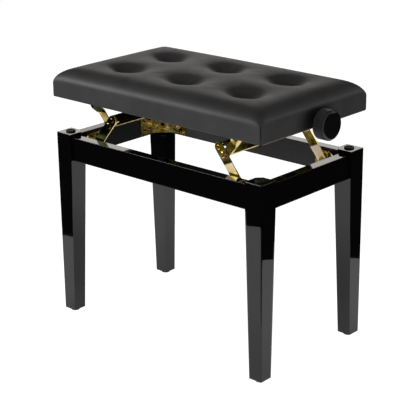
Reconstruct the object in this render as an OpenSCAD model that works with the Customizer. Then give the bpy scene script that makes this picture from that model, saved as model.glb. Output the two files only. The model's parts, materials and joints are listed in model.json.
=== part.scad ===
// Height-adjustable piano bench: a lacquered leg frame, a tufted seat and, between them, two
// crossed-arm lifts driven by one left- and right-hand threaded spindle.
// Millimetres, +Z up, X along the bench, Y towards the back. The origin lies on the floor,
// under the middle of the whole bench with its knob.

/* [Seat] */
// Length of the seat
seat_w = 552; // [500:1:640]
// Depth of the seat
seat_d = 322; // [310:1:380]
// Thickness of the seat, from its lower edge to the top of the cushion
seat_h = 61; // [58:1:80]
// Gap between the leg tops and the lower edge of the seat at the height shown
lift_gap = 76; // [60:1:90]
// Thickness of the leather cover
cover_t = 1.5; // [1:0.1:2.5]
// Thickness of the plywood seat board
board_t = 10; // [9:1:12]
// Thickness of the rails under the seat board
rail_t = 18; // [15:1:22]
// Height of the rails under the seat board
rail_h = 24.5; // [24:0.5:26]
// Distance between the tufts along the seat
tuft_pitch_x = 157; // [120:1:165]
// Distance between the tufts across the seat
tuft_pitch_y = 124; // [90:1:130]
// Depth of a tuft below the top of the cushion
tuft_depth = 17; // [8:1:18]

/* [Leg frame] */
// Length of the leg frame over the legs
frame_w = 548; // [500:1:600]
// Depth of the leg frame over the legs
frame_d = 311; // [300:1:340]
// Height of the leg tops above the floor
leg_top_z = 398; // [380:1:420]
// Width of a leg at the top
leg_w = 40; // [36:1:44]
// Width of a leg at the foot
foot_w = 29.5; // [26:0.5:34]
// Chamfer on the inner corner of a leg
leg_chamfer = 10; // [6:1:12]
// Height of the aprons
apron_h = 49; // [45:1:56]
// Thickness of the aprons
apron_t = 21; // [18:1:22]
// Step from the leg tops down to the apron tops
apron_drop = 7; // [4:1:10]
// Step from the outer faces of the legs to the aprons
apron_set_back = 5.5; // [3:0.5:7]
// Height of the foot glides
glide_h = 5; // [3:0.5:8]
// Height of the bumpers on the leg tops
bumper_h = 3; // [2:0.5:4]

/* [Lift] */
// Distance from the middle of the frame to the lower and the upper arm pivots
pivot_x = 200; // [196:1:201]
// Height of the lower pivots above the floor
pivot_z = 366; // [363:1:368]
// Height of the spindle above the lower edge of the seat
spindle_up = 9; // [8.8:0.1:10]
// Angle of the arms above the horizontal at the height shown
arm_angle = 51.5; // [50:0.5:54]
// Thickness of the steel of the arms and brackets
sheet_t = 3; // [2.5:0.1:3]
// Width of the lower arms
lower_arm_w = 20; // [18:1:22]
// Diameter of the threaded spindle
spindle_dia = 12; // [10:1:12]
// Diameter of the rods at the elbows
rod_dia = 10; // [8:1:10]
// Diameter of the hinge pins and trunnions
pin_dia = 8; // [6:1:8]

/* [Knob] */
// Diameter of the knob over its ribs
knob_dia = 58; // [50:1:64]
// Length of the knob
knob_len = 29; // [22:1:32]
// Gap between the seat and the knob
knob_gap = 9; // [8:0.5:15]
// Number of ribs around the knob
knob_ribs = 56; // [24:1:60]

/* [Hidden] */

$fn = 48;
eps = 0.01;
hole_play = 0.1;                                  // added to the diameter of a screw's hole
run_play = 0.1;                                   // added to the diameter of a turning pin's hole
head_play = 0.4;                                  // added to a screw's hole in steel

// heights
seat_z = leg_top_z + lift_gap;                    // lower edge of the seat
seat_top_z = seat_z + seat_h;
rail_z = seat_z + cover_t;
board_z = rail_z + rail_h;
board_top_z = board_z + board_t;
apron_z = leg_top_z - apron_drop - apron_h;
chamfer_h = apron_h + apron_drop + 8;              // length of the chamfer, from the leg's top
spindle_z = seat_z + spindle_up;

// the leg frame
half_w = frame_w / 2;
half_d = frame_d / 2;
leg_x = half_w - leg_w / 2;                       // middle of a leg
leg_y = half_d - leg_w / 2;
side_in = half_w - apron_set_back - apron_t;      // inner face of the left and right aprons
front_in = half_d - apron_set_back - apron_t;     // inner face of the front and back aprons

// the whole bench reaches further to the right than to the left because of the knob
knob_x = seat_w / 2 + knob_gap;
overhang = knob_gap + knob_len;
shift_x = -overhang / 2;

// the lift: a lower arm runs from the lower pivot through the elbow to the spindle nut, and an
// upper arm of half its length runs from the elbow to the upper pivot. The three points lie on
// a circle about the elbow, so the seat rises straight up
arm_rise = (spindle_z - pivot_z) / 2;             // lower pivot to elbow, and elbow to spindle
arm_r = arm_rise / sin(arm_angle);                // half the length of a lower arm
elbow_x = pivot_x - arm_r * cos(arm_angle);
elbow_z = pivot_z + arm_rise;
nut_x = pivot_x - 2 * arm_r * cos(arm_angle);
side_gap = 0.5;                                   // between arms that lie side by side
lower_y = 120.5;                                  // inner face of the lower arms
hinge_y = lower_y + sheet_t + side_gap;           // inner face of the hinge plates
upper_y = lower_y - side_gap - sheet_t;           // inner face of the upper arms at their elbows
upper_top_y = 128;                                // ... and at their upper pivots
ear_y = upper_top_y + sheet_t + side_gap;         // inner face of the seat brackets' ears
joggle = [34, 50];                                // where an upper arm steps outwards, along it
upper_out = 10;                                   // upper arm's outer edge, from its pivots' line
upper_in = 6.5;                                   // upper arm's inner edge, from that line
upper_end_r = 9;                                  // rounding of an upper arm's ends
web_from = [44, 12];                              // start of the web, left and right upper arm
web_to = arm_r - 15;                              // end of both webs
rivet_u = 17;                                     // rivet of the cross plate, beyond the elbow
cross_u = 20;                                     // cross plate's web, beyond the elbow
cross_low = 10;                                   // cross plate's depth below the line of the pivots
cross_high = 8;                                   // ... and above it
lever_y = 14;                                     // inner faces of the two levers that hold the nut
lever_w = 16;
pin_head_dia = 13;
pin_head_t = 2.5;
rivet_dia = 6;
nut_len = 22;
nut_w = 2 * (lever_y - side_gap);
nut_up = 12.5;                                    // height of the nut above the spindle's middle
nut_down = 9.5;
trunnion_head_t = 2;
hinge_plate_l = 30;

// corner brackets
plate_t = 2;
wing_l = 36;                                      // length of a wing on an apron
wing_z = apron_z + 4;
wing_h = 39;
corner_run = 33;                                  // corner cut off by the bracket's middle
bolt_dia = 8;
bolt_z = apron_z + apron_h / 2;
screw_dia = 4;
screw_hole_l = 14;
boss_dia = 24;                                    // raised ring around the bolt's hole
boss_t = 1.8;
bolt_in_leg = 35;
bolt_past_bracket = 14;
bumper_stem = [5, 7];                             // diameter and length
glide_nail = [4, 20];
wing_x = side_in - corner_run;                    // start of the wing on the front apron
wing_y = front_in - corner_run;                   // start of the wing on the side apron
wing_screws = [for (k = [10, 27], dz = [-10, 10]) [k, bolt_z + dz]];
bolt_mid = [(wing_x + side_in) / 2, (wing_y + front_in) / 2];

// seat
seat_in_w = seat_w - 2 * cover_t;
seat_in_d = seat_d - 2 * cover_t;
edge_r = 22;                                      // rounding of the cushion's upper edges
corner_r = 4;                                     // rounding of the seat's upright corners
tuft_r = 26;
tuft_floor_r = 5;
twine_dia = 1.6;
foam_hole_dia = 3;                                // for the twine, through leather and foam
board_hole_dia = 5;                               // for the twine, through the seat board
shaft_hole_dia = 15;                              // for the outer collar, through the leather
board_screw_l = 26;
seat_screw_l = 11;

seat_foot_w = 28;                                 // the seat brackets' feet under the board
seat_foot_l = 34;
seat_foot_screws = [-7, 7];
seat_screw_y = ear_y - 20;
ear_r = 9;

// spindle
spindle_end = seat_w / 2 - cover_t - rail_t;      // inner faces of the left and right rails
journal_dia = 9;
bush_dia = 13;
bush_flange = 2;
collar_dia = [18, 16];                            // inside and outside the right-hand rail
collar_len = 9.8;
grub_dia = 5;
grub_x = knob_x + 10;
shaft_end = knob_x + knob_len - 6;
rail_mid_x = seat_w / 2 - cover_t - rail_t / 2;
rail_mid_y = seat_d / 2 - cover_t - rail_t / 2;
board_screws = concat(
    [for (sx = [-1, 1], sy = [-1, 1], fx = [0.3, 0.85]) [sx * fx * rail_mid_x, sy * rail_mid_y]],
    [for (sx = [-1, 1], sy = [-0.6, 0.6]) [sx * rail_mid_x, sy * rail_mid_y]]
);
tufts = [for (i = [-1:1], j = [-0.5, 0.5]) [i * tuft_pitch_x, j * tuft_pitch_y]];

lacquer = "#0a0a0a";
plated = "#c9a64a";
leather = "#3a3a3c";
rubber = "#1c1c1c";
plastic = "#161616";
plywood = "#b08a5a";
steel = "#9a9c9e";

// ---------- helpers ----------

module placed() { translate([shift_x, 0, 0]) children(); }

// a copy on the side given by the signs of sx and sy
module at_side(sx, sy) {
    mirror([sx < 0 ? 1 : 0, 0, 0]) mirror([0, sy < 0 ? 1 : 0, 0]) children();
}

module all_corners() { for (sx = [-1, 1], sy = [-1, 1]) at_side(sx, sy) children(); }

// a cylinder along Y between two values of y
module rod_y(x, z, dia, y_from, y_to) {
    translate([x, y_to, z]) rotate([90, 0, 0]) cylinder(d = dia, h = y_to - y_from);
}

// a cylinder along X between two values of x
module rod_x(y, z, dia, x_from, x_to) {
    translate([x_from, y, z]) rotate([0, 90, 0]) cylinder(d = dia, h = x_to - x_from);
}

// a plate in the XZ plane, from y_from to y_to, around a 2D outline
module plate_xz(y_from, y_to) {
    translate([0, y_to, 0]) rotate([90, 0, 0]) linear_extrude(y_to - y_from) children();
}

// a 2D bar with round ends between two points
module round_bar(a, b, w) {
    run = b - a;
    translate(a) rotate(atan2(run[1], run[0])) {
        translate([0, -w / 2]) square([norm(run), w]);
        circle(d = w);
        translate([norm(run), 0]) circle(d = w);
    }
}

// a 2D rectangle with rounded corners about the origin
module round_rect(w, d, r) {
    square([w - 2 * r, d], center = true);
    square([w, d - 2 * r], center = true);
    for (sx = [-1, 1], sy = [-1, 1]) translate([sx * (w / 2 - r), sy * (d / 2 - r)]) circle(r);
}

// ---------- leg frame ----------

// one leg's side outline: the outer edge upright, the inner edge tapered below the apron
module leg_outline(outer) {
    polygon([
        [outer, glide_h], [outer, leg_top_z], [outer - leg_w, leg_top_z],
        [outer - leg_w, apron_z], [outer - foot_w, glide_h],
    ]);
}

// direction of a hanger bolt, level and at 45 degrees through the leg's inner corner
module on_corner() {
    translate([half_w - leg_w, half_d - leg_w, bolt_z]) rotate([0, 0, 45]) children();
}

module leg(sx, sy) {
    color(lacquer) placed() at_side(sx, sy) difference() {
        intersection() {
            translate([0, half_d + 1, 0]) rotate([90, 0, 0])
                linear_extrude(leg_w + 2) leg_outline(half_w);
            translate([half_w - leg_w - 1, 0, 0]) rotate([90, 0, 90])
                linear_extrude(leg_w + 2) leg_outline(half_d);
        }
        translate([half_w - leg_w, half_d - leg_w, leg_top_z - chamfer_h]) rotate([0, 0, 45])
            translate([-leg_w, -leg_w, 0])
                cube([leg_w + leg_chamfer / sqrt(2), 2 * leg_w, chamfer_h + 1]);
        on_corner() rod_x(0, 0, bolt_dia + hole_play, 0, bolt_in_leg + 1);
        translate([leg_x, leg_y, leg_top_z - bumper_stem[1] - 1])
            cylinder(d = bumper_stem[0] + hole_play, h = bumper_stem[1] + 2);
        translate([half_w - foot_w / 2, half_d - foot_w / 2, 0])
            cylinder(d = glide_nail[0] + hole_play, h = glide_nail[1] + 1);
    }
}

// a screw hole into an apron, along Y from the face at y
module apron_hole(x, z, y) { rod_y(x, z, screw_dia + hole_play, y - 1, y + screw_hole_l); }

module long_apron(sy) {
    color(lacquer) placed() at_side(1, sy) difference() {
        translate([-(half_w - leg_w), front_in, apron_z])
            cube([frame_w - 2 * leg_w, apron_t, apron_h]);
        for (sx = [-1, 1], p = wing_screws) apron_hole(sx * (wing_x - p[0]), p[1], front_in);
    }
}

module short_apron(sx) {
    color(lacquer) placed() at_side(sx, 1) difference() {
        translate([side_in, -(half_d - leg_w), apron_z])
            cube([apron_t, frame_d - 2 * leg_w, apron_h]);
        for (sy = [-1, 1], p = wing_screws)
            rod_x(sy * (wing_y - p[0]), p[1], screw_dia + hole_play, side_in - 1, side_in + screw_hole_l);
    }
}

// plan outline of a pressed corner bracket: a wing on each apron and a slanted middle
module bracket_plan() {
    t = plate_t;
    polygon([
        [wing_x - wing_l, front_in], [wing_x - wing_l, front_in - t], [wing_x - t, front_in - t],
        [side_in - t, wing_y - t], [side_in - t, wing_y - wing_l], [side_in, wing_y - wing_l],
        [side_in, wing_y], [wing_x, front_in],
    ]);
}

module corner_bracket(sx, sy) {
    color(plated) placed() at_side(sx, sy) difference() {
        union() {
            translate([0, 0, wing_z]) linear_extrude(wing_h) bracket_plan();
            translate([bolt_mid[0], bolt_mid[1], bolt_z]) rotate([0, 0, 45])
                rod_x(0, 0, boss_dia, -plate_t - boss_t, -0.5);
        }
        translate([bolt_mid[0], bolt_mid[1], bolt_z]) rotate([0, 0, 45])
            rod_x(0, 0, bolt_dia + 0.6, -12, 6);
        for (p = wing_screws) {
            rod_y(wing_x - p[0], p[1], screw_dia + head_play, front_in - 3, front_in + 1);
            rod_x(wing_y - p[0], p[1], screw_dia + head_play, side_in - 3, side_in + 1);
        }
    }
}

// a pan-head wood screw along +Y with its head's seat at y = 0
module wood_screw(length) {
    rod_y(0, 0, screw_dia, 0, length);
    rotate([90, 0, 0]) rotate_extrude()
        polygon([[0, 0], [3.9, 0], [3.6, 1.4], [2.2, 2.3], [0, 2.5]]);
}

module hanger_bolts() {
    reach = (half_w - leg_w) - bolt_mid[0];
    color(plated) placed() all_corners()
        translate([half_w - leg_w, half_d - leg_w, bolt_z]) rotate([0, 0, 45])
            rod_x(0, 0, bolt_dia, -reach * sqrt(2) - bolt_past_bracket, bolt_in_leg);
}

module hanger_nuts() {
    color(plated) placed() all_corners()
        translate([bolt_mid[0], bolt_mid[1], bolt_z]) rotate([0, 0, 45]) translate([-plate_t - boss_t, 0, 0])
            rotate([0, -90, 0]) difference() {
                union() {
                    cylinder(d = 17, h = 1.5);
                    translate([0, 0, 1.5]) cylinder(d = 15, h = 6.5, $fn = 6);
                }
                translate([0, 0, -1]) cylinder(d = bolt_dia + hole_play, h = 12);
            }
}

module corner_bracket_screws() {
    color(plated) placed() all_corners() for (p = wing_screws)
        translate([side_in - plate_t, wing_y - p[0], p[1]]) rotate([0, 0, -90]) wood_screw(14);
}

module leg_bumpers() {
    color(rubber) placed() all_corners() translate([leg_x, leg_y, leg_top_z]) {
        rotate_extrude()
            polygon([
                [0, 0], [10, 0], [10, 2], [9, bumper_h], [6.5, bumper_h], [5.5, 2], [0, 2],
            ]);
        translate([0, 0, -bumper_stem[1]]) cylinder(d = bumper_stem[0], h = bumper_stem[1] + 0.5);
    }
}

module foot_glides() {
    color(rubber) placed() all_corners()
        translate([half_w - foot_w / 2, half_d - foot_w / 2, 0]) {
            rotate_extrude() polygon([[0, 0], [9, 0], [10, 1.2], [10, glide_h], [0, glide_h]]);
            cylinder(d = glide_nail[0], h = glide_nail[1]);
        }
}

// ---------- lift, fixed to the leg frame ----------

// a flat-head wood screw along +Y with the top of its head at y = 0; grow widens it into its hole
module flat_screw(length, grow) {
    rotate([-90, 0, 0]) {
        cylinder(d1 = 7.6 + grow, d2 = screw_dia + grow, h = 1.9);
        cylinder(d = screw_dia + grow, h = length);
    }
}

// a plate over the corner bracket's wing, with the lower pivot; its screws also hold the wing
module hinge_bracket(sx, sy) {
    color(plated) placed() at_side(sx, sy) difference() {
        plate_xz(hinge_y, hinge_y + sheet_t)
            translate([wing_x - wing_l / 2, bolt_z]) round_rect(hinge_plate_l, wing_h - 2, 4);
        for (p = wing_screws) translate([wing_x - p[0], hinge_y, p[1]])
            flat_screw(sheet_t + 1, head_play);
        rod_y(pivot_x, pivot_z, pin_dia + hole_play, hinge_y - 1, hinge_y + sheet_t + 1);
    }
}

module hinge_bracket_screws() {
    color(plated) placed() all_corners() for (p = wing_screws)
        translate([wing_x - p[0], hinge_y, p[1]]) flat_screw(17, 0);
}

module lower_hinge_pins() {
    head_from = lower_y - 0.2 - pin_head_t;
    color(plated) placed() all_corners() {
        rod_y(pivot_x, pivot_z, pin_dia, head_from, hinge_y + sheet_t - 0.2);
        rod_y(pivot_x, pivot_z, pin_head_dia, head_from, head_from + pin_head_t);
    }
}

// ---------- lower arms ----------

// places measured along a lower arm from its elbow, towards the spindle, and across it in z
module from_elbow() {
    translate([elbow_x, 0, elbow_z]) rotate([0, arm_angle - 180, 0]) children();
}

module lower_arm(sx, sy) {
    y_in = lower_y - 1;
    y_out = lower_y + sheet_t + 1;
    color(plated) placed() at_side(sx, sy) from_elbow() difference() {
        plate_xz(lower_y, lower_y + sheet_t) {
            round_bar([-arm_r, 0], [0, 0], lower_arm_w);
            round_bar([0, 0], [rivet_u, 0], lower_arm_w);
        }
        rod_y(-arm_r, 0, pin_dia + run_play, y_in, y_out);
        rod_y(0, 0, rod_dia + hole_play, y_in, y_out);
        rod_y(rivet_u, 0, rivet_dia + hole_play, y_in, y_out);
    }
}

// a domed rivet head with a small hollow, standing on the plane at y, towards +Y
module rivet_head(y, dia) {
    translate([0, y, 0]) rotate([-90, 0, 0]) rotate_extrude()
        polygon([
            [0, 0], [dia / 2, 0], [dia / 2 - 0.8, 1.3], [dia / 2 - 2.4, 2.1],
            [1.5, 2.3], [1.2, 1.2], [0, 1.2],
        ]);
}

// a rod across the bench through both lower arms, riveted over at each end
module elbow_rod(sx) {
    y_end = lower_y + sheet_t;
    color(plated) placed() at_side(sx, 1) from_elbow() {
        rod_y(0, 0, rod_dia, -y_end, y_end);
        for (sy = [-1, 1]) at_side(1, sy) rivet_head(y_end, 15);
    }
}

// a plate across the bench between the two lower arms, with a tab on each of them and two levers
// in its middle that reach up to the nut
module cross_plate(sx) {
    color(plated) placed() at_side(sx, 1) from_elbow() difference() {
        union() {
            translate([cross_u, -lower_y, -cross_high])
                cube([sheet_t, 2 * lower_y, cross_low + cross_high]);
            for (sy = [-1, 1]) at_side(1, sy) {
                translate([rivet_u - 4, lower_y - sheet_t, -2])
                    cube([cross_u + sheet_t - rivet_u + 4, sheet_t, cross_low + 2]);
                plate_xz(lever_y, lever_y + sheet_t) round_bar([0, 0], [arm_r, 0], lever_w);
            }
        }
        for (sy = [-1, 1]) at_side(1, sy) {
            rod_y(rivet_u, 0, rivet_dia + hole_play, lower_y - sheet_t - 1, lower_y + 1);
            rod_y(0, 0, rod_dia + hole_play, lever_y - 1, lever_y + sheet_t + 1);
            rod_y(arm_r, 0, pin_dia + run_play, lever_y - 1, lever_y + sheet_t + 1);
        }
    }
}

module arm_rivets(sx) {
    y_end = lower_y + sheet_t;
    color(plated) placed() for (sy = [-1, 1]) at_side(sx, sy) from_elbow()
        translate([rivet_u, 0, 0]) {
            rod_y(0, 0, rivet_dia, lower_y - sheet_t - 0.6, y_end);
            rivet_head(y_end, 2 * rivet_dia);
        }
}

// ---------- upper arms ----------

// plan of one upper arm, along it and across the bench: at its elbow it lies beside the lower
// arm, and at its upper pivot it has stepped outwards
module upper_arm_plan(from, to) {
    t = sheet_t;
    polygon([
        [from, upper_y], [joggle[0], upper_y], [joggle[1], upper_top_y], [to, upper_top_y],
        [to, upper_top_y + t], [joggle[1] - 1, upper_top_y + t], [joggle[0] - 1, upper_y + t],
        [from, upper_y + t],
    ]);
}

// plan of the web between two upper arms
module web_plan(from) {
    step = (upper_top_y - upper_y) / (joggle[1] - joggle[0]);
    y_from = from < joggle[0] ? upper_y : upper_y + step * (from - joggle[0]);
    polygon([
        [from, y_from + eps], if (from < joggle[0]) [joggle[0], upper_y + eps],
        [joggle[1], upper_top_y + eps], [web_to, upper_top_y + eps],
        [web_to, -upper_top_y - eps], [joggle[1], -upper_top_y - eps],
        if (from < joggle[0]) [joggle[0], -upper_y - eps], [from, -y_from - eps],
    ]);
}

// two arms with a web between them, folded from one sheet. Along the arms is x here
module upper_arm_flat(from) {
    difference() {
        union() {
            for (sy = [-1, 1]) at_side(1, sy) intersection() {
                translate([0, 0, -upper_out]) linear_extrude(upper_out + upper_end_r)
                    upper_arm_plan(-upper_end_r, arm_r + upper_end_r);
                plate_xz(upper_y - 1, upper_top_y + sheet_t + 1) {
                    translate([0, -upper_out]) square([arm_r, upper_out + upper_in]);
                    circle(upper_end_r);
                    translate([arm_r, 0]) circle(upper_end_r);
                }
            }
            translate([0, 0, -upper_out]) linear_extrude(sheet_t) web_plan(from);
        }
        for (sy = [-1, 1]) at_side(1, sy) {
            rod_y(0, 0, rod_dia + run_play, upper_y - 1, upper_y + sheet_t + 1);
            rod_y(arm_r, 0, pin_dia + run_play, upper_top_y - 1, upper_top_y + sheet_t + 1);
        }
    }
}

module upper_arm(sx) {
    color(plated) placed() at_side(sx, 1) translate([elbow_x, 0, elbow_z])
        rotate([0, -arm_angle, 0]) upper_arm_flat(sx < 0 ? web_from[0] : web_from[1]);
}

// ---------- spindle ----------

// the nut's block, with a trunnion in each lever
module spindle_nut(sx) {
    lever_out = lever_y + sheet_t;
    color(steel) placed() at_side(sx, 1) difference() {
        union() {
            translate([nut_x - nut_len / 2, -nut_w / 2, spindle_z - nut_down])
                cube([nut_len, nut_w, nut_up + nut_down]);
            for (sy = [-1, 1]) at_side(1, sy) {
                rod_y(nut_x, spindle_z, pin_dia, nut_w / 2 - 1, lever_out + 0.3);
                rod_y(nut_x, spindle_z, pin_dia + 4, lever_out + 0.3,
                    lever_out + 0.3 + trunnion_head_t);
            }
        }
        rod_x(0, spindle_z, spindle_dia + run_play, nut_x - nut_len, nut_x + nut_len);
    }
}

module spindle() {
    color(steel) placed() {
        rod_x(0, spindle_z, spindle_dia, -spindle_end + 3, spindle_end - 3);
        rod_x(0, spindle_z, journal_dia, -spindle_end - rail_t + 3, shaft_end);
    }
}

module spindle_bush(sx) {
    color(steel) placed() at_side(sx, 1) difference() {
        union() {
            rod_x(0, spindle_z, bush_dia, spindle_end, spindle_end + rail_t);
            rod_x(0, spindle_z, bush_dia + 4, spindle_end - bush_flange, spindle_end);
        }
        rod_x(0, spindle_z, journal_dia + run_play, spindle_end - 3, spindle_end + rail_t + 1);
    }
}

// two shaft collars that stop the spindle from sliding, inside the right-hand bush and outside it
module spindle_collars() {
    inner_end = spindle_end - bush_flange - 0.2;
    color(steel) placed() difference() {
        union() {
            rod_x(0, spindle_z, collar_dia[0], inner_end - collar_len, inner_end);
            rod_x(0, spindle_z, collar_dia[1], seat_w / 2 + 0.3, knob_x - 0.05);
        }
        rod_x(0, spindle_z, spindle_dia + hole_play, spindle_end - 13, spindle_end - 3);
        rod_x(0, spindle_z, journal_dia + hole_play, spindle_end - 4, knob_x + 1);
    }
}

module knob() {
    r = knob_dia / 2;
    color(plastic) placed() difference() {
        union() {
            translate([knob_x, 0, spindle_z]) rotate([0, 90, 0]) rotate_extrude()
                polygon([
                    [0, 0], [r - 5, 0], [r - 2, 2], [r - 1.2, 4], [r - 1.2, knob_len - 4],
                    [r - 2.2, knob_len - 1.5], [r - 4.5, knob_len], [0, knob_len],
                ]);
            for (k = [0:knob_ribs - 1]) translate([knob_x, 0, spindle_z])
                rotate([360 * k / knob_ribs, 0, 0])
                    translate([4.5, -0.9, r - 2.4]) cube([knob_len - 9, 1.8, 2.4]);
        }
        rod_x(0, spindle_z, journal_dia + hole_play, knob_x - 1, shaft_end);
        translate([grub_x, 0, spindle_z]) cylinder(d = grub_dia + hole_play, h = r + 1);
    }
}

module knob_screw() {
    color(steel) placed() translate([grub_x, 0, spindle_z + journal_dia / 2 + 0.02])
        difference() {
            cylinder(d = grub_dia, h = 8);
            translate([0, 0, 5.5]) cylinder(d = 2.5, h = 4, $fn = 6);
        }
}

// ---------- seat ----------

// an angle plate: its foot under the seat board, its ear outside the upper arm
module seat_bracket(sx, sy) {
    color(plated) placed() at_side(sx, sy) difference() {
        union() {
            translate([pivot_x - seat_foot_w / 2, ear_y + sheet_t - seat_foot_l, board_z - sheet_t])
                cube([seat_foot_w, seat_foot_l, sheet_t]);
            plate_xz(ear_y, ear_y + sheet_t) {
                translate([pivot_x - ear_r, spindle_z]) square([2 * ear_r, board_z - spindle_z]);
                translate([pivot_x, spindle_z]) circle(ear_r);
            }
        }
        rod_y(pivot_x, spindle_z, pin_dia + hole_play, ear_y - 1, ear_y + sheet_t + 1);
        for (dx = seat_foot_screws) translate([pivot_x + dx, seat_screw_y, board_z - sheet_t - 1])
            cylinder(d = screw_dia + head_play, h = sheet_t + 2);
    }
}

module seat_bracket_screws() {
    color(plated) placed() all_corners() for (dx = seat_foot_screws)
        translate([pivot_x + dx, seat_screw_y, board_z - sheet_t]) rotate([90, 0, 0])
            wood_screw(seat_screw_l);
}

module upper_hinge_pins() {
    head_from = upper_top_y - 0.2 - pin_head_t;
    ear_out = ear_y + sheet_t;
    color(plated) placed() all_corners() {
        rod_y(pivot_x, spindle_z, pin_dia, head_from, ear_out + 1.6);
        rod_y(pivot_x, spindle_z, pin_head_dia, head_from, head_from + pin_head_t);
        rod_y(pivot_x, spindle_z, pin_dia + 3, ear_out, ear_out + 1.6);
    }
}

module seat_board() {
    color(plywood) placed() difference() {
        translate([0, 0, board_z]) linear_extrude(board_t)
            round_rect(seat_in_w - 2, seat_in_d - 2, corner_r - cover_t);
        all_corners() for (dx = seat_foot_screws)
            translate([pivot_x + dx, seat_screw_y, board_z - 1])
                cylinder(d = screw_dia + hole_play, h = seat_screw_l - sheet_t + 1.5);
        for (p = tufts) translate([p[0], p[1], board_z - 1])
            cylinder(d = board_hole_dia, h = board_t + 2);
        for (p = board_screws) translate([p[0], p[1], board_z - 1])
            cylinder(d = screw_dia + hole_play, h = board_t + 2);
    }
}

// screws down through the seat board into the rails
module seat_board_screws() {
    color(steel) placed() for (p = board_screws)
        translate([p[0], p[1], board_top_z - board_screw_l])
            cylinder(d = screw_dia, h = board_screw_l);
}

module rail_holes() {
    for (p = board_screws) translate([p[0], p[1], board_top_z - board_screw_l - 1])
        cylinder(d = screw_dia + hole_play, h = board_screw_l + 2);
}

module long_rail(sy) {
    color(plywood) placed() difference() {
        intersection() {
            translate([-seat_in_w / 2, sy > 0 ? seat_in_d / 2 - rail_t : -seat_in_d / 2, rail_z])
                cube([seat_in_w, rail_t, rail_h]);
            translate([0, 0, rail_z]) linear_extrude(rail_h)
                round_rect(seat_in_w, seat_in_d, corner_r - cover_t);
        }
        rail_holes();
    }
}

module short_rail(sx) {
    color(plywood) placed() difference() {
        translate([sx > 0 ? spindle_end : -spindle_end - rail_t, -seat_in_d / 2 + rail_t, rail_z])
            cube([rail_t, seat_in_d - 2 * rail_t, rail_h]);
        rod_x(0, spindle_z, bush_dia + hole_play, sx * rail_mid_x - rail_t,
            sx * rail_mid_x + rail_t);
        rail_holes();
    }
}

// the cushion's outer form at a distance inside the leather's outer face
module cushion_body(inset, z_from) {
    w = seat_w - 2 * inset;
    d = seat_d - 2 * inset;
    top = seat_top_z - inset;
    r = edge_r - inset;
    intersection() {
        translate([0, 0, z_from]) linear_extrude(top - z_from) round_rect(w, d, corner_r - inset);
        rotate([90, 0, 0]) translate([0, (top + z_from - r) / 2, -seat_d])
            linear_extrude(2 * seat_d) round_rect(w, top - z_from + r, r);
        rotate([90, 0, 90]) translate([0, (top + z_from - r) / 2, -seat_w])
            linear_extrude(2 * seat_w) round_rect(d, top - z_from + r, r);
    }
}

// the hollows that the tuft buttons pull into the cushion
module tuft_hollows(grow) {
    for (p = tufts) translate([p[0], p[1], seat_top_z]) rotate_extrude()
        polygon([
            [0, -tuft_depth - grow], [tuft_floor_r + grow, -tuft_depth - grow],
            [tuft_floor_r + grow + 3, -tuft_depth + 4 - grow], [14 + grow, -7 - grow / 2],
            [tuft_r + grow, 0], [tuft_r + grow, 1], [0, 1],
        ]);
}

module foam_pad() {
    foam_gap = cover_t + 0.1;
    color("#d8cfa8") placed() difference() {
        cushion_body(foam_gap, board_top_z);
        tuft_hollows(cover_t + 0.2);
        for (p = tufts) translate([p[0], p[1], board_top_z - 1])
            cylinder(d = foam_hole_dia, h = seat_h);
    }
}

// leather over the foam, down the sides and turned in under the rails
module seat_cover() {
    color(leather) placed() difference() {
        cushion_body(0, seat_z);
        difference() {
            cushion_body(cover_t, rail_z);
            tuft_hollows(cover_t);
        }
        tuft_hollows(0);
        translate([0, 0, seat_z - 1]) linear_extrude(cover_t + 2)
            round_rect(seat_in_w - 2 * rail_t, seat_in_d - 2 * rail_t, corner_r);
        rod_x(0, spindle_z, shaft_hole_dia, seat_w / 2 - 3, seat_w / 2 + 1);
        for (p = tufts) translate([p[0], p[1], board_top_z])
            cylinder(d = foam_hole_dia, h = seat_h);
    }
}

module tuft_buttons() {
    color(leather) placed() for (p = tufts) {
        translate([p[0], p[1], seat_top_z - tuft_depth]) rotate_extrude()
            polygon([[0, 0.1], [4, 0.1], [4.6, 1], [3.6, 2.6], [1.8, 3.3], [0, 3.4]]);
        translate([p[0], p[1], board_z - 1.5]) cylinder(d = 12, h = 1.5);
    }
}

module tuft_twine() {
    twine_len = seat_top_z - tuft_depth - board_z + 0.1;
    color("#e4e0d4") placed() for (p = tufts)
        translate([p[0], p[1], board_z]) cylinder(d = twine_dia, h = twine_len);
}

leg(-1, -1);  // leg_front_left
leg(1, -1);  // leg_front_right
leg(-1, 1);  // leg_back_left
leg(1, 1);  // leg_back_right
long_apron(-1);  // apron_front
long_apron(1);  // apron_back
short_apron(-1);  // apron_left
short_apron(1);  // apron_right
corner_bracket(-1, -1);  // corner_bracket_front_left
corner_bracket(1, -1);  // corner_bracket_front_right
corner_bracket(-1, 1);  // corner_bracket_back_left
corner_bracket(1, 1);  // corner_bracket_back_right
hanger_bolts();
hanger_nuts();
corner_bracket_screws();
leg_bumpers();
foot_glides();
hinge_bracket(-1, -1);  // hinge_bracket_front_left
hinge_bracket(1, -1);  // hinge_bracket_front_right
hinge_bracket(-1, 1);  // hinge_bracket_back_left
hinge_bracket(1, 1);  // hinge_bracket_back_right
hinge_bracket_screws();
lower_hinge_pins();
lower_arm(-1, -1);  // lower_arm_front_left
lower_arm(-1, 1);  // lower_arm_back_left
elbow_rod(-1);  // elbow_rod_left
cross_plate(-1);  // cross_plate_left
arm_rivets(-1);  // arm_rivets_left
lower_arm(1, -1);  // lower_arm_front_right
lower_arm(1, 1);  // lower_arm_back_right
elbow_rod(1);  // elbow_rod_right
cross_plate(1);  // cross_plate_right
arm_rivets(1);  // arm_rivets_right
upper_arm(-1);  // upper_arm_left
upper_arm(1);  // upper_arm_right
spindle_nut(-1);  // spindle_nut_left
spindle_nut(1);  // spindle_nut_right
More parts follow.
